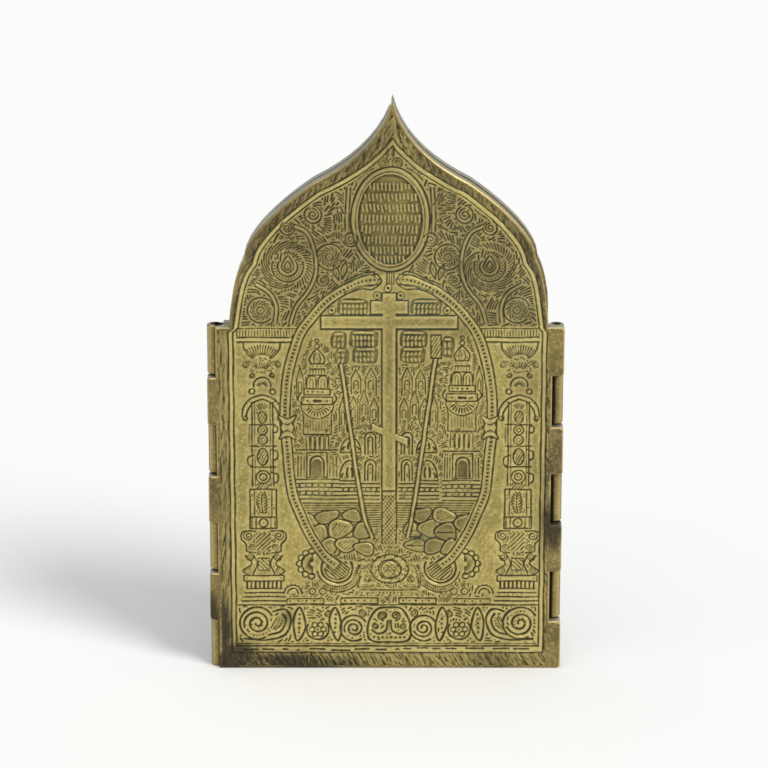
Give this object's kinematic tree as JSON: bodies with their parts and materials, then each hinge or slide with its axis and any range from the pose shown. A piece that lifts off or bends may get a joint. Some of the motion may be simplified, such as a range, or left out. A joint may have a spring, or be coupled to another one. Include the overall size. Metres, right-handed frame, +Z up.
{
  "type": "folding travel icon",
  "caption": "Closed folding icon plaque of cast brass with an ogee top, engraved cover leaf and two half doors hinged behind it.",
  "frame": {"origin": "centre of the lower edge on the standing surface, midway between the two rows of hinge knuckles and midway through the closed thickness", "axes": "+Z up to the pointed head, +X to the right as the engraved cover is seen, the engraved cover faces -Y and the doors lie at +Y"},
  "size_m": [0.105, 0.0084, 0.1751],
  "materials": {
    "cover_brass": "cast brass, rubbed bright on the high parts, dark olive and blue-green patina in the cuts",
    "door_brass": "cast brass, duller and browner than the cover",
    "pin_brass": "dark worn brass wire"
  },
  "bodies": {
    "main_leaf": {"central_leaf": "cover_brass", "left_hinge_pin": "pin_brass", "right_hinge_pin": "pin_brass"},
    "left_door": {"left_door": "door_brass"},
    "right_door": {"right_door": "door_brass"}
  },
  "joints": [
    {"name": "left_door_hinge", "type": "hinge", "parent": "main_leaf", "child": "left_door", "pos_m": [-0.0502, 0, 0], "axis": [0, 0, 1], "range_deg": [0, 180]},
    {"name": "right_door_hinge", "type": "hinge", "parent": "main_leaf", "child": "right_door", "pos_m": [0.0502, 0, 0], "axis": [0, 0, -1], "range_deg": [0, 180]}
  ]
}
